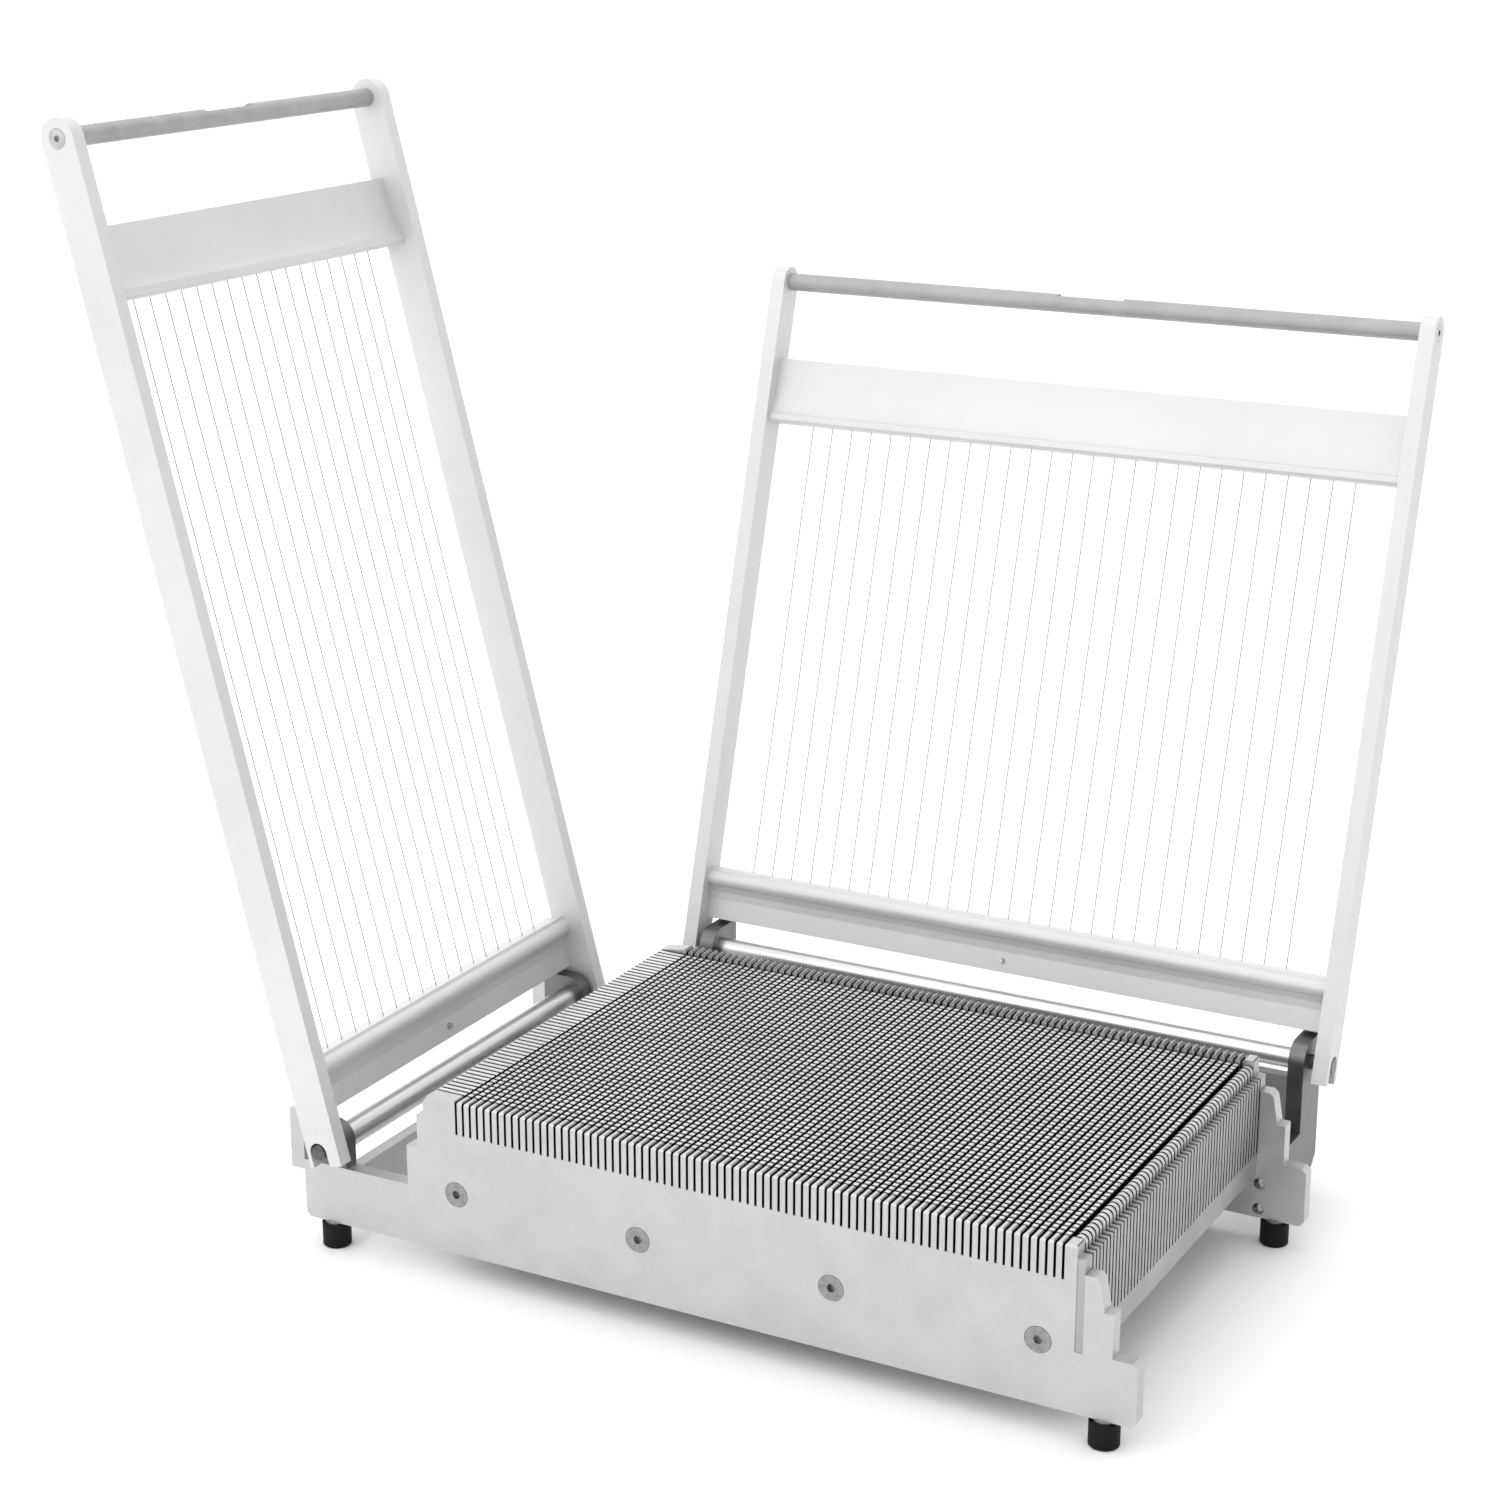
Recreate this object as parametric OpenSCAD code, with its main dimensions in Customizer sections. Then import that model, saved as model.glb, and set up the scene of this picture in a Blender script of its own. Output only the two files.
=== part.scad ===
// Table-top double wire cutter for slabs of chocolate, ganache or fudge.
// A slotted bed carries the slab. Two hinged frames strung with wires
// swing down through the bed, one from the left and one from the rear.
//
// Working coordinates: X runs along the bed from its first lengthwise slot,
// Y runs back from the front face of the front plate, Z is up from the
// bottom of the lengthwise slots. Everything is then moved so that the
// origin is the centre of the bounding box, on the surface under the feet.

/* [Bed] */
// Distance between neighbouring slots, both ways
slot_pitch = 5; // [4.5:0.1:6]
// Width of every slot
slot_w = 1.6; // [1.2:0.1:2]
// Number of lengthwise slots, side by side along the front
slot_count = 80; // [70:1:80]
// Number of crosswise grooves, from front to rear
groove_count = 55; // [49:1:55]
// Height of the bed's top above the bottom of the lengthwise slots
bed_top = 21.5; // [18:0.5:26]
// Depth of the crosswise grooves below the bottom of the lengthwise slots
groove_drop = 33; // [28:0.5:34]
// Thickness of the rails that carry the slats
rail_t = 16; // [12:1:18]
// Width of a rail
rail_w = 18; // [14:1:24]
// Width of the solid comb along the left side
left_comb_w = 19.7; // [14:0.1:24]
// Width of the round-topped bar along the right side
edge_bar_w = 7.4; // [5:0.1:9]
// Thickness of the thin comb along the right side
right_comb_t = 4.8; // [3:0.1:6]
// Height of the right comb's teeth above the slot bottoms
right_comb_top = 14; // [12:0.5:21]

/* [End plates] */
// Thickness of the front and rear plates
plate_t = 10; // [8:0.5:12]
// Height of the plates below the slot bottoms
plate_drop = 79.5; // [76:0.5:90]
// Length of the left shelf, which carries the left hinge
left_shelf = 78; // [74:1:90]
// Length of the right shelf, which the left frame comes down on
right_shelf = 15; // [12:1:24]
// Height of the pointed teeth of the rear plate above the bed
rear_tooth_rise = 3; // [2:0.5:5]

/* [Feet] */
// Diameter of a rubber foot
foot_d = 18; // [16:1:26]
// Height of a rubber foot
foot_h = 15.5; // [12:0.5:24]
// Thickness of the washer above a foot
washer_t = 1.5; // [1:0.5:3]

/* [Hinges] */
// Thickness of a hinge bracket
bracket_t = 10.5; // [8:0.5:12]
// Diameter of the left hinge rod
left_rod_d = 17; // [12:1:18]
// Diameter of the rear hinge rod
rear_rod_d = 14; // [12:1:18]
// Diameter of a pivot pin
pin_d = 10; // [8:0.5:11]
// Height of the rear hinge axis from the slot bottoms
rear_axis_z = -1; // [-2:0.5:3]
// Distance from the rear plate's back to the rear hinge axis
rear_axis_gap = 65.4; // [60:0.1:80]

/* [Frames] */
// Width of the left frame's arms
left_arm_w = 24; // [20:1:28]
// Width of the rear frame's arms
rear_arm_w = 21; // [18:1:24]
// Thickness of a frame arm
arm_t = 10; // [8:0.5:12]
// Gap between the left frame's arms and the end plates
arm_gap = 3; // [2:0.5:6]
// Gap between the rear frame's arms and its brackets
rear_arm_gap = 5; // [4.5:0.5:6]
// Outward lean of the left frame when raised, in degrees
left_lean = 14.6; // [10:0.1:16]
// Outward lean of the rear frame when raised, in degrees
rear_lean = 16.2; // [10:0.1:17]
// Diameter of a handle rod
handle_d = 12; // [10:1:16]
// Distance between the upper crossbar and the handle's axis
handle_reach = 53.5; // [45:0.5:70]
// Depth of a crossbar, across the frame
crossbar_d = 22; // [18:1:22]
// Height of an upper crossbar
upper_bar_h = 45; // [40:1:50]
// Distance from the hinge axis to the lower crossbar's bottom
lower_bar_at = 19; // [17:1:24]
// Height of a lower crossbar
lower_bar_h = 36; // [30:1:38]
// Diameter of the cutting wire
wire_d = 0.5; // [0.4:0.1:0.8]
// Slots from one wire to the next
wire_step = 3; // [2:1:4]
// Number of wires in the left frame
left_wires = 17; // [9:2:17]
// Number of wires in the rear frame
rear_wires = 27; // [15:2:27]

/* [Hidden] */

// Facets of round parts
round_fn = 48;
// Small gap between frames and what they come down on
rest_gap = 0.5;

// --- places along X ---
last_slot_x = slot_pitch * (slot_count - 1);
comb_in_x = -slot_w / 2;
comb_out_x = comb_in_x - left_comb_w;
edge_x0 = last_slot_x + slot_w / 2;
edge_x1 = edge_x0 + edge_bar_w;
right_comb_x0 = edge_x1;
right_comb_x1 = right_comb_x0 + right_comb_t;
right_post_x = right_comb_x1 + 12;
right_step_x = right_post_x + 5.5;
right_end_x = right_step_x + right_shelf;
left_post_x = comb_out_x - 8.5;
left_step_x = left_post_x - 8;
left_end_x = left_step_x - left_shelf;
// --- places along Y ---
first_groove_y = plate_t + slot_w / 2;
last_groove_y = first_groove_y + slot_pitch * (groove_count - 1);
rear_plate_y = last_groove_y + slot_w / 2;
rear_face_y = rear_plate_y + plate_t;
bed_mid_x = last_slot_x / 2;
bed_mid_y = rear_face_y / 2;
// --- heights ---
rail_bottom_z = -groove_drop - rail_t;
plate_bottom_z = -plate_drop;
foot_top_z = plate_bottom_z - washer_t;
ground_z = foot_top_z - foot_h;
screw_z = -groove_drop - 7;
// --- frames, measured from their hinge axes ---
wire_off = -4;
bar_half = crossbar_d / 2;
lower_bar_top = lower_bar_at + lower_bar_h;
// --- left hinge ---
left_axis_x = left_step_x - 3 - lower_bar_top;
left_axis_z = 5.5 - groove_drop;
left_arm_off = 4;
left_arm_low_z = left_axis_z - left_arm_off - left_arm_w / 2;
left_upper_at = right_step_x + 9 - left_axis_x;
left_handle_at = left_upper_at + upper_bar_h + handle_reach;
left_arm_in = -arm_gap;
left_arm_out = left_arm_in - arm_t;
left_arm_far_in = rear_face_y + arm_gap;
shelf_z = left_axis_z - bar_half - 2.5;
// --- rear hinge ---
rear_arm_off = 1;
arm_step_z = rear_axis_z - rear_arm_off - rear_arm_w / 2 - 2;
rear_axis_y = rear_face_y + rear_axis_gap;
rear_upper_at = rear_axis_y + arm_gap + arm_t;
rear_handle_at = rear_upper_at + upper_bar_h + handle_reach;
rear_mid_x = (left_post_x + right_post_x) / 2;
rear_arm_half = (right_post_x - left_post_x) / 2 + 1;
rear_bracket_half = rear_arm_half - rear_arm_gap;
// --- brackets: each frame leans back on the tops of its brackets ---
bracket_round = 13;
left_bracket_front = 12;
rear_bracket_front = 15;
bracket_back = 20;
block_t = 10;
left_bracket_top = lower_bar_at * cos(left_lean) - bar_half * sin(left_lean) - rest_gap;
rear_bracket_top = lower_bar_at * cos(rear_lean) - bar_half * sin(rear_lean) - rest_gap;
bracket_foot_z = left_arm_low_z - 2;
bracket_bolt_z = [bracket_foot_z - 11, bracket_foot_z - 28];
// --- screws ---
plate_screw_d = 8;
handle_screw_d = 6;
bracket_screw_d = 4;
socket_ratio = 0.72;
head_gap = 0.5;
button_d = 7.6;
button_h = 2.4;
screw_count = 4;
screw_span = 383;
screw_first_x = bed_mid_x - screw_span / 2 - 7.5;

// --- bounding box, for the origin ---
box_x0 = left_axis_x - left_handle_at * sin(left_lean)
       + left_arm_off * cos(left_lean) - left_arm_w / 2;
box_x1 = right_end_x;
box_y0 = left_arm_out;
box_y1 = rear_axis_y + rear_handle_at * sin(rear_lean)
       - rear_arm_off * cos(rear_lean) + rear_arm_w / 2;
origin_shift = [-(box_x0 + box_x1) / 2, -(box_y0 + box_y1) / 2, -ground_z];

// Colours
satin = [0.84, 0.85, 0.86];
frame_white = [0.93, 0.93, 0.94];
bracket_grey = [0.42, 0.42, 0.43];
steel = [0.62, 0.63, 0.64];
handle_grey = [0.66, 0.66, 0.66];
rubber = [0.05, 0.05, 0.05];

// ---------- helpers ----------

module place() { translate(origin_shift) children(); }

// Extrudes an outline given in X and Z along Y, from y0 over a length
module along_y(y0, length) {
    translate([0, y0 + length, 0]) rotate([90, 0, 0]) linear_extrude(height = length) children();
}

// Extrudes an outline given in Y and Z along X, from x0 over a length
module along_x(x0, length) {
    translate([x0, 0, 0]) rotate([90, 0, 90]) linear_extrude(height = length) children();
}

// Points of a row of slots, each one at first + pitch * k
function slot_notches(first, count, top, bottom, chamfer, pitch = slot_pitch) = [
    for (k = [0:count - 1], corner = [[-1, 0], [-1, 1], [-1, 2], [1, 2], [1, 1], [1, 0]])
        let (centre = first + pitch * k,
             half = slot_w / 2 + (corner[1] == 0 ? chamfer : 0))
        [centre + corner[0] * half,
         corner[1] == 0 ? top : corner[1] == 1 ? top - chamfer : bottom]
];

// A flat-headed socket screw: its head lies flush at the origin, pointing up +Z
module flat_head_screw(length, size) {
    difference() {
        union() {
            cone_down(size, size);
            translate([0, 0, -length]) cylinder(h = length, d = size, $fn = round_fn);
        }
        translate([0, 0, -0.4 * size]) cylinder(h = size, d = socket_ratio * size, $fn = 6);
    }
}

// The cone of a flat head, two sizes across at the top, or a little more for its seat
module cone_down(size, shank) {
    head_d = 2 * size;
    height = (head_d - size) / 2;
    translate([0, 0, -height]) cylinder(h = height, d1 = shank, d2 = head_d + shank - size, $fn = round_fn);
}

// The hole that such a screw sits in
module flat_head_hole(length, size) {
    cone_down(size, size + head_gap);
    translate([0, 0, -length]) cylinder(h = length + 0.01, d = size, $fn = round_fn);
}

// A domed screw whose head stands on the origin, pointing up +Z
module button_screw(length) {
    dome_r = (button_d * button_d / 4 + button_h * button_h) / (2 * button_h);
    difference() {
        union() {
            intersection() {
                translate([0, 0, button_h - dome_r]) sphere(r = dome_r, $fn = round_fn);
                cylinder(h = button_h, d = button_d, $fn = round_fn);
            }
            translate([0, 0, -length]) cylinder(h = length, d = bracket_screw_d, $fn = round_fn);
        }
        translate([0, 0, 1]) cylinder(h = button_h, d = 2.9, $fn = 6);
    }
}

module screw_places() {
    for (k = [0:screw_count - 1])
        translate([screw_first_x + k * screw_span / (screw_count - 1), 0, screw_z]) children();
}

module foot_places() {
    for (x = [left_end_x + 19, right_end_x - 20], y = [plate_t / 2, rear_face_y - plate_t / 2])
        translate([x, y, 0]) children();
}

// ---------- end plates ----------

// Outline of a plate without its teeth; top is the height of the teeth
module plate_outline(top) {
    r = 3;
    polygon(concat(
            [[left_end_x + r, plate_bottom_z], [right_end_x - r, plate_bottom_z],
             [right_end_x, plate_bottom_z + r], [right_end_x, shelf_z - r],
             [right_end_x - r, shelf_z], [right_step_x, shelf_z],
             [right_step_x, arm_step_z], [right_post_x, arm_step_z],
             [right_post_x, arm_step_z + 1], [right_post_x - 3, 3],
             [right_post_x - 5.5, 5.5], [right_comb_x1 + 0.2, 5.5]],
            [[right_comb_x1 + 0.2, shelf_z - 1], [right_comb_x0, shelf_z - 1],
             [right_comb_x0, top - 1], [right_comb_x0 - 1, top]],
            [for (p = slot_notches(0, slot_count, top, 0, top > bed_top ? 1.4 : 0.7))
                [last_slot_x - p[0], p[1]]],
            [[comb_out_x, bed_top], [comb_out_x - 3.5, bed_top - 5],
             [comb_out_x - 3.5, 7.5], [left_post_x, 7.5],
             [left_post_x, arm_step_z], [left_step_x, arm_step_z],
             [left_step_x, shelf_z],
             [left_end_x, shelf_z], [left_end_x, plate_bottom_z + r]]));
}

module plate_holes() {
    screw_places() rotate([90, 0, 0]) flat_head_hole(plate_t + 1, plate_screw_d);
}

module front_plate() {
    place() color(satin) difference() {
        along_y(0, plate_t) plate_outline(bed_top);
        plate_holes();
        // chamfer along the front of the teeth
        translate([comb_in_x, 0, bed_top]) rotate([45, 0, 0])
            translate([0, -2, -0.9]) cube([right_comb_x0 - comb_in_x + 1, 4, 4]);
    }
}

module rear_plate() {
    place() color(satin) difference() {
        along_y(rear_plate_y, plate_t) plate_outline(bed_top + rear_tooth_rise);
        translate([0, rear_face_y, 0]) mirror([0, 1, 0]) plate_holes();
        for (side = [-1, 1], z = bracket_bolt_z)
            translate([rear_mid_x + side * (rear_bracket_half - bracket_t / 2), rear_face_y + 1, z])
                rotate([90, 0, 0]) cylinder(h = plate_t + 2, d = bracket_screw_d, $fn = round_fn);
    }
}

// ---------- bed ----------

// Outline in X and Z of a slat, notched wherever a wire of the rear frame
// comes down between its ends
module slat_outline() {
    start = slot_w / 2;
    end = last_slot_x - slot_w / 2;
    places = [for (k = [0:rear_wires - 1]) let (x = rear_wire_first + k * wire_pitch)
        if (x > start + slot_w && x < end - slot_w) x];
    polygon(concat([[end, -groove_drop], [start, -groove_drop], [start, bed_top]],
        slot_notches(places[0], len(places), bed_top, 0, 0, wire_pitch),
        [[end, bed_top]]));
}

// A third of the slats; the slats fill the spaces between the crosswise grooves
module slats(third) {
    from = floor((groove_count - 1) * third / 3);
    to = floor((groove_count - 1) * (third + 1) / 3) - 1;
    place() color(satin) for (k = [from:to])
        along_y(first_groove_y + slot_pitch * k + slot_w / 2, slot_pitch - slot_w) slat_outline();
}

module front_slats() { slats(0); }
module middle_slats() { slats(1); }
module rear_slats() { slats(2); }

// Where the screws run into a rail or comb, from both ends
module rail_bores() {
    for (side = [0, 1])
        translate([0, side * rear_face_y, 0]) mirror([0, side, 0])
            screw_places() rotate([90, 0, 0]) translate([0, 0, -24])
                cylinder(h = 20, d = plate_screw_d, $fn = round_fn);
}

// Rails under the slats; the last one also carries the edge bar
module tie_rails() {
    length = rear_plate_y - plate_t;
    place() color(satin) difference() {
        for (k = [1:screw_count - 1]) {
            x0 = screw_first_x + k * screw_span / (screw_count - 1) - rail_w / 2;
            x1 = k == screw_count - 1 ? edge_x1 : x0 + rail_w;
            translate([x0, plate_t, rail_bottom_z]) cube([x1 - x0, length, rail_t]);
        }
        rail_bores();
    }
}

// Outline in Y and Z of a bar cut by all the crosswise grooves
module grooved_outline(bottom, top, chamfer) {
    polygon(concat([[rear_plate_y, bottom], [plate_t, bottom], [plate_t, top]],
        slot_notches(first_groove_y, groove_count, top, -groove_drop, chamfer),
        [[rear_plate_y, top]]));
}

// The left comb stands on a foot that runs under the ends of the slats
module left_comb() {
    place() color(satin) difference() {
        union() {
            along_x(comb_out_x, left_comb_w) grooved_outline(rail_bottom_z, bed_top, 0.3);
            translate([comb_out_x, plate_t, rail_bottom_z])
                cube([screw_first_x + rail_w / 2 - comb_out_x, rear_plate_y - plate_t, rail_t]);
        }
        rail_bores();
    }
}

// Bar with a rounded top between the last slot and the right comb
module edge_bar() {
    length = rear_plate_y - plate_t;
    r = edge_bar_w / 2;
    place() color(satin) difference() {
        union() {
            translate([edge_x0, plate_t, -groove_drop]) cube([edge_bar_w, length, bed_top - r + groove_drop]);
            translate([edge_x0 + r, plate_t, bed_top - r]) rotate([-90, 0, 0])
                cylinder(h = length, r = r, $fn = round_fn);
        }
        for (k = [0:groove_count - 1])
            translate([edge_x0 - 1, first_groove_y + k * slot_pitch - slot_w / 2, 6 - groove_drop])
                cube([edge_bar_w + 2, slot_w, bed_top + groove_drop]);
    }
}

module right_comb() {
    low = rail_bottom_z - 2;
    tab = shelf_z - 1;
    place() color(satin) along_x(right_comb_x0, right_comb_t)
        polygon(concat(
            [[rear_face_y - 0.5, right_comb_top], [rear_face_y - 0.5, tab], [rear_plate_y, tab],
             [rear_plate_y, low], [plate_t, low], [plate_t, tab], [0.5, tab], [0.5, right_comb_top]],
            slot_notches(first_groove_y, groove_count, right_comb_top, -groove_drop - 3, 0.7)));
}

module front_screws() {
    place() color(steel) screw_places() rotate([90, 0, 0]) flat_head_screw(24, plate_screw_d);
}

module rear_screws() {
    place() color(steel) translate([0, rear_face_y, 0]) mirror([0, 1, 0])
        screw_places() rotate([90, 0, 0]) flat_head_screw(24, plate_screw_d);
}

// ---------- feet ----------

module rubber_feet() {
    place() color(rubber) foot_places() difference() {
        translate([0, 0, ground_z]) union() {
            cylinder(h = 1, d1 = foot_d - 2, d2 = foot_d, $fn = round_fn);
            translate([0, 0, 1]) cylinder(h = foot_h - 1, d = foot_d, $fn = round_fn);
        }
        translate([0, 0, foot_top_z - 10]) cylinder(h = 11, d = 6, $fn = round_fn);
    }
}

module foot_washers() {
    place() color(steel) foot_places() translate([0, 0, foot_top_z]) difference() {
        cylinder(h = washer_t, d = foot_d - 4, $fn = round_fn);
        translate([0, 0, -1]) cylinder(h = washer_t + 2, d = 6, $fn = round_fn);
    }
}

module foot_studs() {
    place() color(steel) foot_places() translate([0, 0, foot_top_z - 10])
        cylinder(h = 10 + washer_t, d = 6, $fn = round_fn);
}

// ---------- hinge brackets ----------

// Upright of a bracket around the hinge axis at the origin, seen along the
// axis: the bed lies towards -X, the bottom is at the given height and the
// corner away from the bed is cut off
module bracket_upright(bottom, bracket_front, bracket_top, cut) {
    r = bracket_round;
    width = bracket_front + bracket_back;
    difference() {
        union() {
            translate([-bracket_front, bottom]) square([width, bracket_top - r - bottom]);
            translate([r - bracket_front, bottom]) square([width - r, bracket_top - bottom]);
            translate([r - bracket_front, bracket_top - r]) circle(r = r, $fn = round_fn);
        }
        translate([bracket_back, bottom]) rotate(45) square(cut * sqrt(2), center = true);
    }
}

// The left brackets stand on the plates' left shelves
module left_bracket(y0) {
    place() color(bracket_grey) difference() {
        translate([left_axis_x, y0 + bracket_t, left_axis_z]) rotate([90, 0, 0])
            mirror([1, 0, 0]) linear_extrude(height = bracket_t)
                bracket_upright(shelf_z - left_axis_z, left_bracket_front, left_bracket_top, 1);
        translate([left_axis_x, y0 - 1, left_axis_z]) rotate([-90, 0, 0])
            cylinder(h = bracket_t + 2, d = pin_d, $fn = round_fn);
        translate([0, y0 + bracket_t / 2, 0]) left_bolts() translate([0, 0, -left_bolt_l])
            cylinder(h = left_bolt_l, d = bracket_screw_d, $fn = round_fn);
    }
}

// Where the screws come through a block into its bracket, facing outwards
left_bolt_l = 22;
module left_bolts() {
    for (side = [-1, 1])
        translate([left_end_x - block_t, 0, left_axis_z + 9 * side]) rotate([0, -90, 0]) children();
}
module left_bracket_screws() {
    place() color(steel) for (y = [bracket_t / 2, rear_face_y - bracket_t / 2])
        translate([0, y, 0]) left_bolts() button_screw(left_bolt_l);
}

module left_near_bracket() { left_bracket(0); }
module left_far_bracket() { left_bracket(rear_face_y - bracket_t); }

// Blocks beside the left brackets, on the ends of the plates
module left_end_blocks() {
    block_z = shelf_z - 7;
    place() color(satin) for (y = [0, rear_face_y - bracket_t]) difference() {
        translate([left_end_x - block_t, y, block_z])
            cube([block_t, bracket_t, left_axis_z + left_bracket_top + 4 - block_z]);
        translate([0, y + bracket_t / 2, 0]) left_bolts() translate([0, 0, -left_bolt_l])
            cylinder(h = left_bolt_l + 1, d = bracket_screw_d, $fn = round_fn);
    }
}

// A plate that ties the left ends of the end plates together
module left_tie_plate() {
    place() color(satin) translate([left_axis_x + 9, plate_t, plate_bottom_z])
        cube([8, rear_plate_y - plate_t, shelf_z - plate_bottom_z]);
}

// A plate that ties the rear brackets together below their rod
module rear_tie_plate() {
    half = rear_bracket_half - bracket_t;
    top = rear_axis_z - rear_rod_d / 2 - 1;
    place() color(satin) translate([rear_mid_x - half, rear_axis_y - 12, plate_bottom_z + 4])
        cube([2 * half, 8, top - plate_bottom_z - 4]);
}

// The rear brackets stand on a foot that passes under the left frame's arm
module rear_bracket(x0) {
    bottom = plate_bottom_z - rear_axis_z;
    place() color(bracket_grey) difference() {
        translate([x0, rear_axis_y, rear_axis_z]) rotate([90, 0, 90]) linear_extrude(height = bracket_t) {
            bracket_upright(bottom, rear_bracket_front, rear_bracket_top, 7);
            translate([rear_face_y - rear_axis_y, bottom])
                square([rear_axis_y - rear_face_y, bracket_foot_z - plate_bottom_z]);
        }
        translate([x0 - 1, rear_axis_y, rear_axis_z]) rotate([0, 90, 0])
            cylinder(h = bracket_t + 2, d = pin_d, $fn = round_fn);
        for (z = bracket_bolt_z) translate([x0 + bracket_t / 2, rear_face_y - 1, z])
            rotate([-90, 0, 0]) cylinder(h = 17, d = bracket_screw_d, $fn = round_fn);
    }
}

module rear_left_bracket() { rear_bracket(rear_mid_x - rear_bracket_half); }
module rear_right_bracket() { rear_bracket(rear_mid_x + rear_bracket_half - bracket_t); }

module rear_bracket_screws() {
    place() color(steel)
        for (side = [-1, 1], z = bracket_bolt_z)
            translate([rear_mid_x + side * (rear_bracket_half - bracket_t / 2), rear_plate_y, z])
                rotate([90, 0, 0]) button_screw(plate_t + 16);
}

module left_hinge_rod() {
    place() color(frame_white) translate([left_axis_x, bracket_t, left_axis_z]) rotate([-90, 0, 0])
        cylinder(h = rear_face_y - 2 * bracket_t, d = left_rod_d, $fn = round_fn);
}

module rear_hinge_rod() {
    half = rear_bracket_half - bracket_t;
    place() color(frame_white) translate([rear_mid_x - half, rear_axis_y, rear_axis_z]) rotate([0, 90, 0])
        cylinder(h = 2 * half, d = rear_rod_d, $fn = round_fn);
}

// A pin with a slightly chamfered end, from its root at the origin towards +Z
module pivot_pin(length) {
    cylinder(h = length - 0.8, d = pin_d, $fn = round_fn);
    translate([0, 0, length - 0.8]) cylinder(h = 0.8, d1 = pin_d, d2 = pin_d - 1.6, $fn = round_fn);
}

module left_pivot_pins() {
    length = bracket_t + arm_gap + arm_t;
    place() color(steel) {
        translate([left_axis_x, bracket_t, left_axis_z]) rotate([90, 0, 0]) pivot_pin(length);
        translate([left_axis_x, rear_face_y - bracket_t, left_axis_z]) rotate([-90, 0, 0]) pivot_pin(length);
    }
}

module rear_pivot_pins() {
    length = bracket_t + rear_arm_gap + arm_t;
    place() color(steel) for (side = [0, 1])
        translate([rear_mid_x, rear_axis_y, rear_axis_z]) mirror([side, 0, 0])
            translate([rear_bracket_half - bracket_t, 0, 0]) rotate([0, 90, 0]) pivot_pin(length);
}

// ---------- frames ----------

// Frame coordinates: X is off the frame's plane towards the bed,
// Y is up the frame from its hinge axis, the extrusion runs along the axis.

// Puts a shape drawn in frame coordinates on the left frame, from y0 back
module on_left_frame(y0) {
    place() translate([left_axis_x, y0, left_axis_z]) rotate([0, -left_lean, 0])
        rotate([90, 0, 0]) mirror([0, 0, 1]) children();
}

// Puts a shape drawn in frame coordinates on the rear frame, from x0 to the right
module on_rear_frame(x0) {
    place() translate([x0, rear_axis_y, rear_axis_z]) rotate([-rear_lean, 0, 0])
        rotate([90, 0, 90]) mirror([1, 0, 0]) children();
}

// Outline of an arm with its round top and the open slot that sits on the pin;
// its centre line is off the hinge axis towards the bed
module arm_outline(handle_at, width, off, end_below) {
    slot_d = pin_d + 2.4;
    slot_off = 0.8;
    difference() {
        union() {
            translate([off - width / 2, -end_below]) square([width, end_below + handle_at]);
            translate([off, handle_at]) circle(d = width, $fn = 2 * round_fn);
        }
        translate([slot_off, 0]) circle(d = slot_d, $fn = round_fn);
        translate([slot_off - slot_d / 2, -end_below - 1]) square([slot_d, end_below + 1]);
    }
}

// An arm; its handle screw sits in whichever face is the outer one
module arm(handle_at, width, off, end_below, outer_at_top) {
    difference() {
        linear_extrude(height = arm_t) arm_outline(handle_at, width, off, end_below);
        translate([off, handle_at, outer_at_top ? arm_t : 0]) mirror([0, 0, outer_at_top ? 0 : 1])
            flat_head_hole(arm_t + 1, handle_screw_d);
    }
}

module left_arm(y0, outer_at_top) {
    color(frame_white) on_left_frame(y0) arm(left_handle_at, left_arm_w, left_arm_off, 9.5, outer_at_top);
}
module rear_arm(x0, outer_at_top) {
    color(frame_white) on_rear_frame(x0) arm(rear_handle_at, rear_arm_w, rear_arm_off, 12.5, outer_at_top);
}

module left_near_arm() { left_arm(left_arm_out, false); }
module left_far_arm() { left_arm(left_arm_far_in, true); }
module rear_left_arm() { rear_arm(rear_mid_x - rear_arm_half - arm_t, false); }
module rear_right_arm() { rear_arm(rear_mid_x + rear_arm_half, true); }

// Thickness of the lower crossbar's flange
flange_t = 9;

// Lower crossbar: a round-nosed bar that the wires leave from, over a flange
module lower_bar_outline() {
    nose_r = 5.5;
    nose_off = bar_half - 5;
    top = lower_bar_top;
    polygon(concat([[-bar_half, lower_bar_at], [flange_t - bar_half, lower_bar_at],
                    [flange_t - bar_half, top - 22], [-1, top - 17]],
        [for (a = [-80:16:80]) [nose_off - nose_r + nose_r * cos(a), top - 2 - nose_r + nose_r * sin(a)]],
        [[1, top], [-bar_half, top]]));
}

// Upper crossbar: a scooped grip with a lip towards the bed
module upper_bar_outline(bar_at) {
    back = -bar_half;
    lip = 7.5;
    lip_h = 6;
    crest_t = 12;
    scoop_steps = 16;
    scoop_h = upper_bar_h - lip_h;
    scoop_d = lip - back - crest_t;
    polygon(concat([[back, bar_at], [lip - 2, bar_at], [lip, bar_at + 2]],
        [for (k = [0:scoop_steps]) let (a = 90 * k / scoop_steps)
            [lip - scoop_d * sin(a), bar_at + lip_h + scoop_h * (1 - cos(a))]],
        [[back, bar_at + upper_bar_h]]));
}

module stud() {
    cylinder(h = 2.5, d1 = 4, d2 = 3, $fn = round_fn);
}

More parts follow.
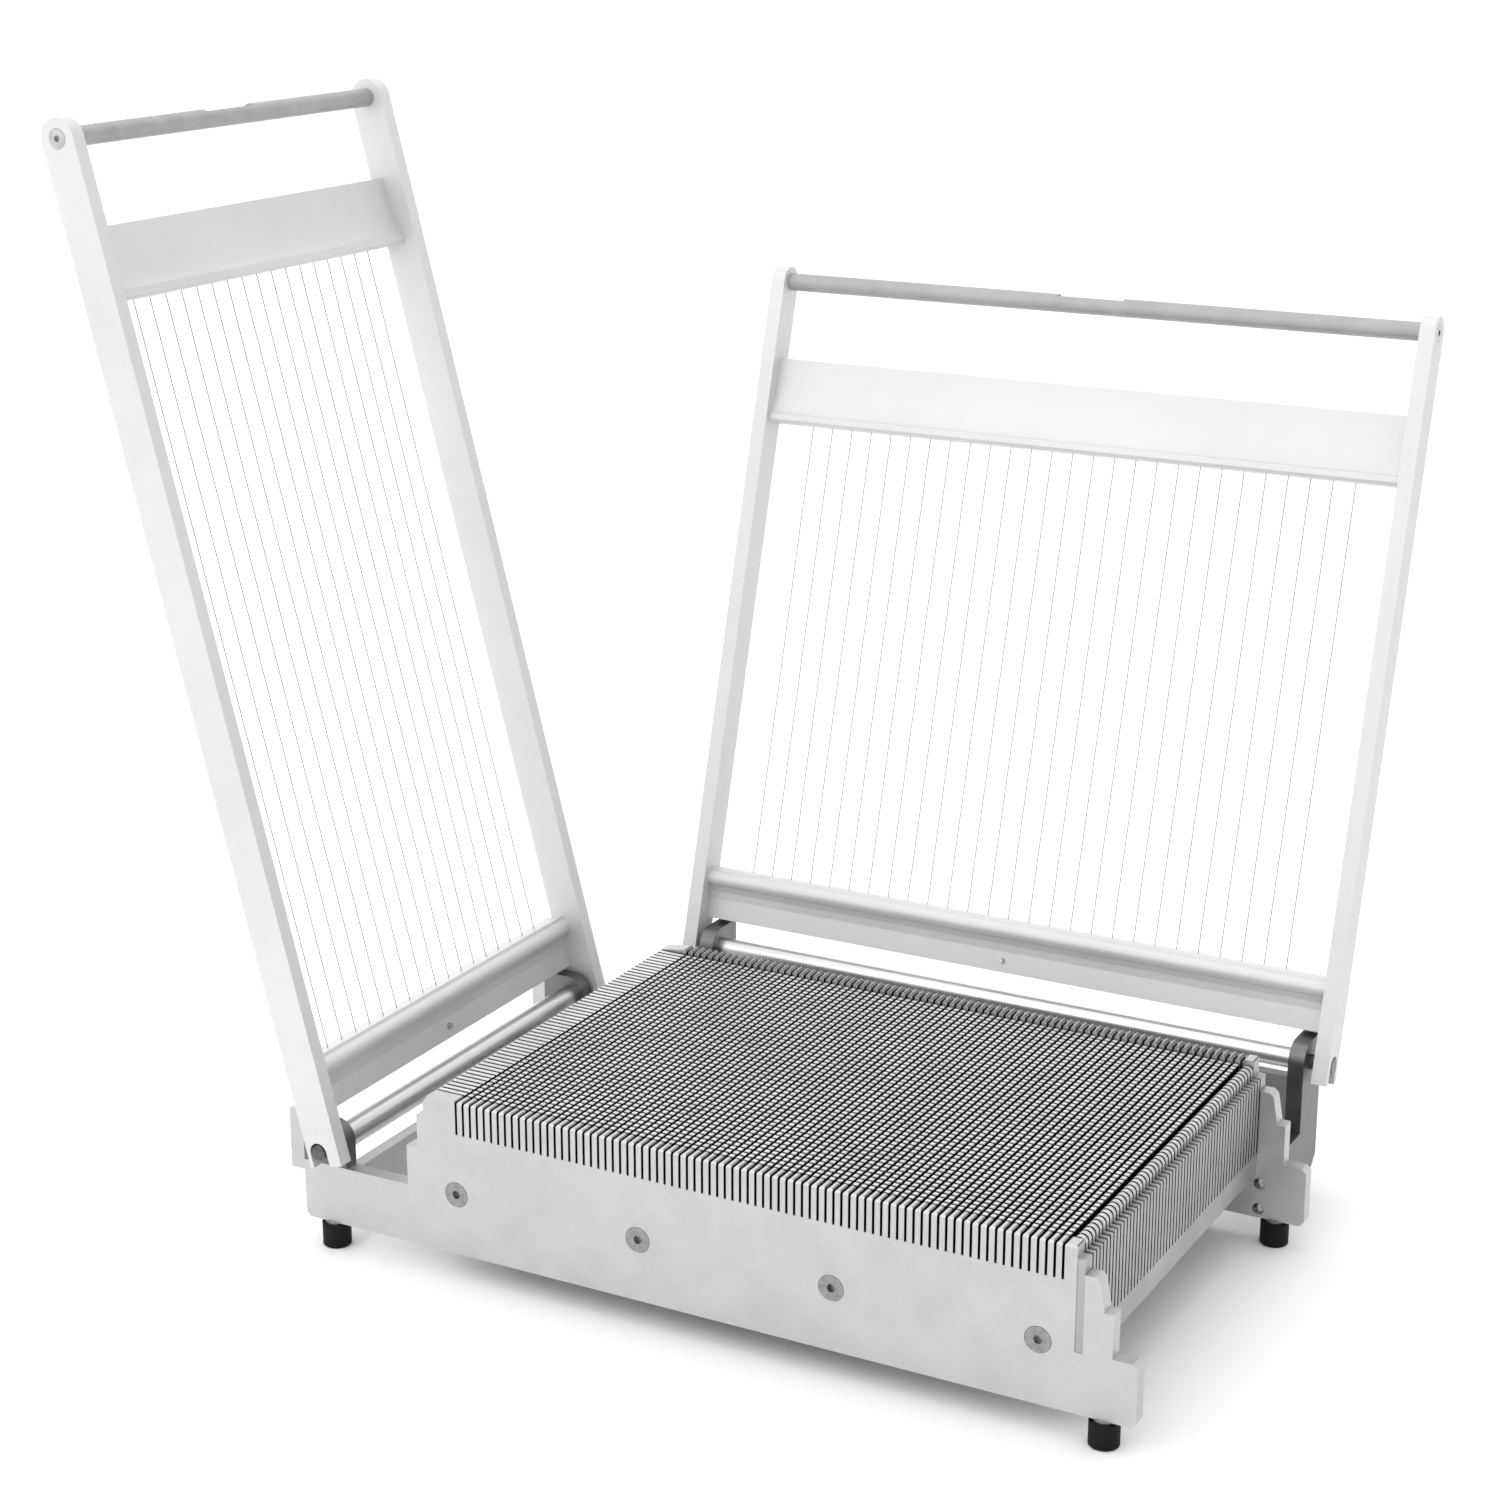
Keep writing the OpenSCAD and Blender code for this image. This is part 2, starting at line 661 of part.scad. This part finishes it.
// A handle rod with a shallow flat in its middle, along +Z from the origin
module handle_rod(length) {
    flat_l = 47;
    flat_d = 1.8;
    difference() {
        cylinder(h = length, d = handle_d, $fn = round_fn);
        translate([-handle_d, handle_d / 2 - flat_d, (length - flat_l) / 2])
            cube([2 * handle_d, handle_d, flat_l]);
        for (z = [-1, length - 19]) translate([0, 0, z]) cylinder(h = 20, d = handle_screw_d, $fn = round_fn);
    }
}

// The screws that hold a handle between two arms, outer faces included
module handle_screws(span) {
    translate([0, 0, span + arm_t]) flat_head_screw(28, handle_screw_d);
    mirror([0, 0, 1]) translate([0, 0, arm_t]) flat_head_screw(28, handle_screw_d);
}

// A row of wires between the two crossbars, at the given places along the axis
module wire_row(places, upper_at) {
    for (p = places)
        translate([wire_off, lower_bar_top, p]) rotate([-90, 0, 0])
            cylinder(h = upper_at - lower_bar_top, d = wire_d, $fn = 16);
}

left_span = left_arm_far_in - left_arm_in;
rear_span = 2 * rear_arm_half;
rear_arm_in_x = rear_mid_x - rear_arm_half;
wire_pitch = slot_pitch * wire_step;
left_wire_first = first_groove_y + slot_pitch * floor((groove_count - 1 - wire_step * (left_wires - 1)) / 2);
rear_wire_first = slot_pitch * floor((slot_count - 1 - wire_step * (rear_wires - 1)) / 2);

module left_lower_crossbar() {
    color(frame_white) on_left_frame(left_arm_in) linear_extrude(height = left_span) lower_bar_outline();
}
module left_upper_crossbar() {
    color(frame_white) on_left_frame(left_arm_in) linear_extrude(height = left_span)
        upper_bar_outline(left_upper_at);
}
module left_handle() {
    color(handle_grey) on_left_frame(left_arm_in)
        translate([left_arm_off, left_handle_at, 0]) handle_rod(left_span);
}
module left_handle_screws() {
    color(steel) on_left_frame(left_arm_in)
        translate([left_arm_off, left_handle_at, 0]) handle_screws(left_span);
}
module left_crossbar_stud() {
    color(steel) on_left_frame(bed_mid_y)
        translate([flange_t - bar_half, lower_bar_at + 8, 0]) rotate([0, 90, 0]) stud();
}
module left_wire_set() {
    color(steel) on_left_frame(0)
        wire_row([for (k = [0:left_wires - 1]) left_wire_first + k * wire_pitch], left_upper_at);
}
module rear_lower_crossbar() {
    color(frame_white) on_rear_frame(rear_arm_in_x) linear_extrude(height = rear_span) lower_bar_outline();
}
module rear_upper_crossbar() {
    color(frame_white) on_rear_frame(rear_arm_in_x) linear_extrude(height = rear_span)
        upper_bar_outline(rear_upper_at);
}
module rear_handle() {
    color(handle_grey) on_rear_frame(rear_arm_in_x)
        translate([rear_arm_off, rear_handle_at, 0]) handle_rod(rear_span);
}
module rear_handle_screws() {
    color(steel) on_rear_frame(rear_arm_in_x)
        translate([rear_arm_off, rear_handle_at, 0]) handle_screws(rear_span);
}
module rear_crossbar_stud() {
    color(steel) on_rear_frame(rear_mid_x)
        translate([flange_t - bar_half, lower_bar_at + 8, 0]) rotate([0, 90, 0]) stud();
}
module rear_wire_set() {
    color(steel) on_rear_frame(0)
        wire_row([for (k = [0:rear_wires - 1]) rear_wire_first + k * wire_pitch], rear_upper_at);
}

front_plate();
rear_plate();
front_slats();
middle_slats();
rear_slats();
tie_rails();
left_comb();
edge_bar();
right_comb();
front_screws();
rear_screws();
rubber_feet();
foot_washers();
foot_studs();
left_near_bracket();
left_far_bracket();
left_hinge_rod();
left_pivot_pins();
left_bracket_screws();
left_tie_plate();
left_end_blocks();
rear_left_bracket();
rear_right_bracket();
rear_hinge_rod();
rear_pivot_pins();
rear_bracket_screws();
rear_tie_plate();
left_near_arm();
left_far_arm();
left_lower_crossbar();
left_upper_crossbar();
left_handle();
left_handle_screws();
left_crossbar_stud();
left_wire_set();
rear_left_arm();
rear_right_arm();
rear_lower_crossbar();
rear_upper_crossbar();
rear_handle();
rear_handle_screws();
rear_crossbar_stud();
rear_wire_set();
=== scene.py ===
"""Look of a table-top double wire cutter: satin aluminium bed and two raised wire frames."""

import math

import bpy
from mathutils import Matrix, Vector


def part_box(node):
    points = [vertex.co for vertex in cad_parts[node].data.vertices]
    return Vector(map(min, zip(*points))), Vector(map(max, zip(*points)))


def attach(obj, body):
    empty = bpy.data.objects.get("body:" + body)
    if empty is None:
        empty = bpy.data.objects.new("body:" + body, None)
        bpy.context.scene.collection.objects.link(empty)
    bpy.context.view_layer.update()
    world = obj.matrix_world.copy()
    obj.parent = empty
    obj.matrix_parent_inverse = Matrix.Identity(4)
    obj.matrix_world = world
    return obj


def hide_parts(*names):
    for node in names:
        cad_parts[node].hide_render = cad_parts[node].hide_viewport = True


MM = 0.001

# Camera: where it stands in the part's frame, which way it looks, and its lens
CAMERA_AT_MM = (867.96, -1633.92, 857.7)
CAMERA_AZIMUTH = 28.51
CAMERA_ELEVATION = 17.14
CAMERA_LENS_MM = 72.8
SENSOR_MM = 36.0

# Strength of the white surroundings, and how much of it is left at the far right
WORLD_STRENGTH = 1.4
RIGHT_SHADE = 0.5

# Studio lights: name, place and size in metres, and power in watts
LIGHTS = (
    ("key_light", (-1.4, -2.4, 2.2), 1.8, 10),
    ("top_light", (0.2, 0.3, 2.8), 2.4, 8),
)
LIGHTS_AIM = (0, 0, 0.2)

# Half the width of the floor, in metres
FLOOR_HALF = 40.0

# Widths of the softened edges in millimetres, and the nodes that have them
EDGE_WIDTHS_MM = {
    0.8: ("left_near_arm", "left_far_arm", "rear_left_arm", "rear_right_arm"),
    0.7: (
        "left_lower_crossbar",
        "left_upper_crossbar",
        "rear_lower_crossbar",
        "rear_upper_crossbar",
        "left_near_bracket",
        "left_far_bracket",
        "rear_left_bracket",
        "rear_right_bracket",
        "left_end_blocks",
        "left_tie_plate",
        "rear_tie_plate",
    ),
    0.5: ("left_handle", "rear_handle", "rubber_feet", "tie_rails"),
    0.35: ("front_plate", "rear_plate", "right_comb", "left_comb", "edge_bar"),
    0.25: (
        "front_screws",
        "rear_screws",
        "left_handle_screws",
        "rear_handle_screws",
        "left_bracket_screws",
        "rear_bracket_screws",
    ),
}
EDGE_SEGMENTS = 2
SHARP_ANGLE = math.radians(35)

# The bed's slats: every lengthwise slot is cut through every slat
SLAT_NODES = ("front_slats", "middle_slats", "rear_slats")
SLAT_COUNT = 54
SLOT_COUNT = 78
SLOT_PITCH = 5 * MM
SLOT_WIDTH = 1.6 * MM
SLOT_DEPTH = 21.5 * MM
SLAT_EDGE = 0.35 * MM

# Colour of the painted shade on the walls inside slots, and the length at a comb's ends that keeps its own
# tone
SLOT_WALL_PAINTED_SHADE = 0.015
FRONT_DEPTH = 6 * MM

# Bump of the fine grain: noise scale and depth in millimetres
GRAIN_SCALE = 900
GRAIN_DEPTH_MM = 0.15

# The colour inputs of a Mix node
MIX_FIRST = 6
MIX_SECOND = 7


# ---------- materials ----------


def new_material(name):
    """A new node material, with its node tree and its shader."""
    material = bpy.data.materials.new(name)
    material.use_nodes = True
    shader = material.node_tree.nodes["Principled BSDF"]
    return material, material.node_tree, shader


def place_texture(tree, scale, detail, roughness=0.5, stretch=(1, 1, 1)):
    """A noise texture in the object's own coordinates; returns its factor socket."""
    coordinates = tree.nodes.new("ShaderNodeTexCoord")
    mapping = tree.nodes.new("ShaderNodeMapping")
    mapping.inputs["Scale"].default_value = stretch
    noise = tree.nodes.new("ShaderNodeTexNoise")
    noise.inputs["Scale"].default_value = scale
    noise.inputs["Detail"].default_value = detail
    noise.inputs["Roughness"].default_value = roughness
    tree.links.new(coordinates.outputs["Object"], mapping.inputs["Vector"])
    tree.links.new(mapping.outputs["Vector"], noise.inputs["Vector"])
    return noise.outputs["Fac"]


def spread(tree, factor, low, high, start=0.3, end=0.7):
    """Turns a factor into a value from low to high."""
    node = tree.nodes.new("ShaderNodeMapRange")
    node.inputs["From Min"].default_value = start
    node.inputs["From Max"].default_value = end
    node.inputs["To Min"].default_value = low
    node.inputs["To Max"].default_value = high
    tree.links.new(factor, node.inputs["Value"])
    return node.outputs["Result"]


def blend_colours(tree, factor, first, second, start=0.35, end=0.65):
    """Colours between first and second, following a factor."""
    ramp = tree.nodes.new("ShaderNodeValToRGB")
    ramp.color_ramp.elements[0].position = start
    ramp.color_ramp.elements[0].color = (*first, 1)
    ramp.color_ramp.elements[1].position = end
    ramp.color_ramp.elements[1].color = (*second, 1)
    tree.links.new(factor, ramp.inputs["Fac"])
    return ramp.outputs["Color"]


def add_bump(tree, shader, height, strength, distance_mm):
    """A fine surface relief from a height."""
    bump = tree.nodes.new("ShaderNodeBump")
    bump.inputs["Strength"].default_value = strength
    bump.inputs["Distance"].default_value = distance_mm * MM
    tree.links.new(height, bump.inputs["Height"])
    tree.links.new(bump.outputs["Normal"], shader.inputs["Normal"])


def grey(value, warmth=0.0):
    """A nearly neutral colour; warmth moves it a little towards yellow."""
    return (value, value, value * (1 - warmth))


def satin_metal(name, dark, light, roughness, metallic=1.0, cloud_scale=14, grain=0.25, stretch=(1, 1, 1)):
    """Bead-blasted metal: soft clouds of tone over a fine grain."""
    material, tree, shader = new_material(name)
    clouds = place_texture(tree, cloud_scale, 6, 0.6, stretch)
    fine = place_texture(tree, GRAIN_SCALE, 2, 0.6)
    tone = blend_colours(tree, clouds, dark, light)
    tree.links.new(tone, shader.inputs["Base Color"])
    tree.links.new(spread(tree, clouds, roughness - 0.05, roughness + 0.06), shader.inputs["Roughness"])
    shader.inputs["Metallic"].default_value = metallic
    add_bump(tree, shader, fine, grain, GRAIN_DEPTH_MM)
    return material


def axis_value(tree, socket, axis):
    """One axis of a vector."""
    split = tree.nodes.new("ShaderNodeSeparateXYZ")
    tree.links.new(socket, split.inputs["Vector"])
    return split.outputs[axis]


def math_node(tree, operation, first, second=None):
    """The result of one sum on one or two values."""
    node = tree.nodes.new("ShaderNodeMath")
    node.operation = operation
    tree.links.new(first, node.inputs[0])
    if second is not None:
        tree.links.new(second, node.inputs[1])
    return node.outputs["Value"]


def paint_slot_wall_shade(material, facing, along, start, end):
    """Paints shade on the walls of narrow slots: darkens faces along one axis, from start to end along
    another.
    """
    tree = material.node_tree
    colour = tree.nodes["Principled BSDF"].inputs["Base Color"]
    geometry = tree.nodes.new("ShaderNodeNewGeometry")
    side = math_node(tree, "ABSOLUTE", axis_value(tree, geometry.outputs["Normal"], facing))
    wall = spread(tree, side, 0, 1, 0.5, 0.85)
    coordinates = tree.nodes.new("ShaderNodeTexCoord")
    place = axis_value(tree, coordinates.outputs["Object"], along)
    after = spread(tree, place, 0, 1, start, start + SLAT_EDGE)
    before = spread(tree, place, 1, 0, end - SLAT_EDGE, end)
    factor = math_node(tree, "MULTIPLY", wall, math_node(tree, "MULTIPLY", after, before))
    mix = tree.nodes.new("ShaderNodeMix")
    mix.data_type = "RGBA"
    tree.links.new(factor, mix.inputs["Factor"])
    tree.links.new(colour.links[0].from_socket, mix.inputs[MIX_FIRST])
    mix.inputs[MIX_SECOND].default_value = (*grey(SLOT_WALL_PAINTED_SHADE), 1)
    tree.links.new(mix.outputs[2], colour)


def brushed_metal(name, dark, light, roughness, stretch):
    """Metal with fine lines left by turning or drawing."""
    material, tree, shader = new_material(name)
    lines = place_texture(tree, 260, 3, 0.6, stretch)
    tree.links.new(blend_colours(tree, lines, dark, light), shader.inputs["Base Color"])
    tree.links.new(spread(tree, lines, roughness - 0.06, roughness + 0.08), shader.inputs["Roughness"])
    shader.inputs["Metallic"].default_value = 1.0
    add_bump(tree, shader, lines, 0.08, 0.05)
    return material


def rubber_material():
    """Black rubber with a faint dusty bloom."""
    material, tree, shader = new_material("black_rubber")
    dust = place_texture(tree, 60, 5)
    tree.links.new(blend_colours(tree, dust, grey(0.004), grey(0.01)), shader.inputs["Base Color"])
    tree.links.new(spread(tree, dust, 0.55, 0.7), shader.inputs["Roughness"])
    shader.inputs["Specular IOR Level"].default_value = 0.15
    add_bump(tree, shader, dust, 0.1, 0.2)
    return material


def floor_material():
    """Plain pale studio floor."""
    material, tree, shader = new_material("studio_floor")
    cloud = place_texture(tree, 1.5, 2)
    tree.links.new(blend_colours(tree, cloud, grey(0.96), grey(0.97)), shader.inputs["Base Color"])
    shader.inputs["Roughness"].default_value = 0.9
    return material


def paint(material, *names):
    for name in names:
        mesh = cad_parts[name].data
        mesh.materials.clear()
        mesh.materials.append(material)


def paint_object():
    """Gives every CAD node its material."""
    plate = satin_metal("plate_aluminium", grey(0.51), grey(0.57), 0.46, cloud_scale=40, grain=0.4)
    bed = satin_metal("bed_aluminium", grey(0.50), grey(0.62), 0.44, cloud_scale=30)
    slats = satin_metal("slat_aluminium", grey(0.60), grey(0.72), 0.44, cloud_scale=30)
    # Painted shade: the right comb's aluminium is darker because its side towards the right lies in shade
    comb = satin_metal("comb_aluminium_painted_shade", grey(0.38), grey(0.46), 0.46, cloud_scale=30)
    low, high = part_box("right_comb")
    left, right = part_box(SLAT_NODES[0])[0][0], low[0]
    # Painted shade on the walls inside the slots of the plate, slats, comb and bed
    paint_slot_wall_shade(plate, "X", "X", left - SLOT_PITCH, right)
    for grooved in (slats, comb, bed):
        paint_slot_wall_shade(grooved, "Y", "Y", low[1] + FRONT_DEPTH, high[1] - FRONT_DEPTH)
    paint_slot_wall_shade(slats, "X", "X", left - SLOT_PITCH, right)
    white = satin_metal("frame_aluminium", grey(0.62), grey(0.67), 0.48, metallic=0.3, cloud_scale=8)
    handle = satin_metal("handle_aluminium", grey(0.34), grey(0.40), 0.5, metallic=0.6, cloud_scale=50)
    bracket = satin_metal("bracket_steel", grey(0.14), grey(0.20), 0.4, cloud_scale=40)
    rod = satin_metal("rod_steel", grey(0.62), grey(0.70), 0.3, cloud_scale=6, grain=0.05)
    screw = brushed_metal("stainless_steel", grey(0.24), grey(0.34), 0.3, (1, 1, 1))
    light_screw = brushed_metal("light_screw", grey(0.46), grey(0.56), 0.34, (1, 1, 1))
    wire = brushed_metal("stainless_wire", grey(0.14), grey(0.20), 0.3, (1, 1, 0.05))
    pin = satin_metal("pin_steel", grey(0.10), grey(0.18), 0.3, cloud_scale=60)

    paint(plate, "front_plate", "rear_plate", "tie_rails", "left_end_blocks")
    paint(plate, "rear_tie_plate")
    # Painted light: the left tie plate takes the lighter frame material, so it looks lit where it lies in
    # shade
    paint(white, "left_tie_plate")
    paint(bed, *SLAT_NODES, "edge_bar")
    paint(comb, "right_comb")
    paint(slats, "left_comb")
    for side, arms in (("left", ("near", "far")), ("rear", ("left", "right"))):
        paint(white, *(f"{side}_{arm}_arm" for arm in arms))
        paint(white, f"{side}_lower_crossbar", f"{side}_upper_crossbar")
        paint(handle, f"{side}_handle")
        paint(rod, f"{side}_hinge_rod")
        paint(wire, f"{side}_wire_set")
        paint(light_screw, f"{side}_handle_screws", f"{side}_crossbar_stud")
        paint(screw, f"{side}_bracket_screws")
        paint(pin, f"{side}_pivot_pins")
    paint(bracket, "left_near_bracket", "left_far_bracket", "rear_left_bracket", "rear_right_bracket")
    paint(screw, "front_screws", "rear_screws", "foot_washers", "foot_studs")
    paint(rubber_material(), "rubber_feet")
    add_slats(slats)


# ---------- shape ----------


def soften_edges():
    """Rounds the edges of the machined pieces a little."""
    for width, names in EDGE_WIDTHS_MM.items():
        for name in names:
            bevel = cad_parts[name].modifiers.new("soft_edges", "BEVEL")
            bevel.width = width * MM
            bevel.segments = EDGE_SEGMENTS
            bevel.limit_method = "ANGLE"
            bevel.angle_limit = SHARP_ANGLE
            bevel.harden_normals = False


def slat_profile(x0, x1, bottom, top):
    """Outline of one slat in X and Z, with softened corners on its teeth."""
    points = [(x1, bottom), (x0, bottom), (x0, top - SLAT_EDGE), (x0 + SLAT_EDGE, top)]
    floor = top - SLOT_DEPTH
    for k in range(SLOT_COUNT):
        left = x0 + (k + 1) * SLOT_PITCH - SLOT_WIDTH
        right = left + SLOT_WIDTH
        points += [(left - SLAT_EDGE, top), (left, top - SLAT_EDGE), (left, floor)]
        points += [(right, floor), (right, top - SLAT_EDGE), (right + SLAT_EDGE, top)]
    return points + [(x1 - SLAT_EDGE, top), (x1, top - SLAT_EDGE)]


def add_slats(material):
    """Draws the slats with every slot, in place of the CAD slats, whose slots are only where wires pass."""
    low = [min(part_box(name)[0][axis] for name in SLAT_NODES) for axis in range(3)]
    high = [max(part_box(name)[1][axis] for name in SLAT_NODES) for axis in range(3)]
    profile = slat_profile(low[0], high[0], low[2], high[2])
    size = len(profile)
    thickness = SLOT_PITCH - SLOT_WIDTH
    vertices = []
    faces = []
    for k in range(SLAT_COUNT):
        start = low[1] + k * SLOT_PITCH
        # four copies of the outline; the outer two are lowered at the top to soften the edge
        layers = ((0, SLAT_EDGE), (SLAT_EDGE, 0), (thickness - SLAT_EDGE, 0), (thickness, SLAT_EDGE))
        for depth, drop in layers:
            base = len(vertices)
            vertices += [(x, start + depth, min(z, high[2] - drop)) for x, z in profile]
            if depth > 0:
                faces += [
                    (base - size + i, base - size + (i + 1) % size, base + (i + 1) % size, base + i)
                    for i in range(size)
                ]
            else:
                faces.append(tuple(range(base, base + size)))
        faces.append(tuple(range(base + size - 1, base - 1, -1)))
    mesh = bpy.data.meshes.new("bed_slats")
    mesh.from_pydata(vertices, [], faces)
    mesh.validate()
    mesh.update()
    mesh.materials.append(material)
    slats = bpy.data.objects.new("bed_slats", mesh)
    bpy.context.scene.collection.objects.link(slats)
    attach(slats, "base")
    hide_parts(*SLAT_NODES)


# ---------- studio ----------


def add_floor():
    """A wide pale floor just under the feet."""
    half = FLOOR_HALF
    mesh = bpy.data.meshes.new("studio_floor")
    corners = [(-half, -half, 0), (half, -half, 0), (half, half, 0), (-half, half, 0)]
    mesh.from_pydata(corners, [], [(0, 1, 2, 3)])
    floor = bpy.data.objects.new("studio_floor", mesh)
    mesh.materials.append(floor_material())
    bpy.context.scene.collection.objects.link(floor)


def add_light(name, place, target, size, power):
    """A square soft light at place, turned towards target."""
    data = bpy.data.lights.new(name, "AREA")
    data.size = size
    data.energy = power
    light = bpy.data.objects.new(name, data)
    light.location = place
    direction = Vector(target) - Vector(place)
    light.rotation_euler = direction.to_track_quat("-Z", "Y").to_euler()
    bpy.context.scene.collection.objects.link(light)


def light_studio():
    """White surroundings, dimmer towards the right, and two soft lights."""
    world = bpy.data.worlds.new("studio")
    world.use_nodes = True
    tree = world.node_tree
    background = tree.nodes["Background"]
    coordinates = tree.nodes.new("ShaderNodeTexCoord")
    split = tree.nodes.new("ShaderNodeSeparateXYZ")
    tree.links.new(coordinates.outputs["Generated"], split.inputs["Vector"])
    shade = spread(tree, split.outputs["X"], 1.0, RIGHT_SHADE, 0.1, 0.9)
    tree.links.new(shade, background.inputs["Color"])
    background.inputs["Strength"].default_value = WORLD_STRENGTH
    bpy.context.scene.view_settings.view_transform = "Standard"
    bpy.context.scene.world = world
    for name, place, size, power in LIGHTS:
        add_light(name, place, LIGHTS_AIM, size, power)


def add_camera():
    """The camera, where the photographer stood."""
    data = bpy.data.cameras.new("camera")
    data.lens = CAMERA_LENS_MM
    data.sensor_width = SENSOR_MM
    camera = bpy.data.objects.new("camera", data)
    camera.location = Vector(CAMERA_AT_MM) * MM
    camera.rotation_euler = (math.radians(90 - CAMERA_ELEVATION), 0, math.radians(CAMERA_AZIMUTH))
    bpy.context.scene.collection.objects.link(camera)
    bpy.context.scene.camera = camera


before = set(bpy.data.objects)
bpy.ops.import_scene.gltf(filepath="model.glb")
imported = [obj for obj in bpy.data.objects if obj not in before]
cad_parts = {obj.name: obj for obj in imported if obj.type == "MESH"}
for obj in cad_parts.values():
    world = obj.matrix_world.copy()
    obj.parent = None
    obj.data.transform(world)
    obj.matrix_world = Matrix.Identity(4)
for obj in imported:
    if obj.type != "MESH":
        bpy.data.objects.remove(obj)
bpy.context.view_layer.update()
paint_object()
soften_edges()
add_floor()
light_studio()
add_camera()
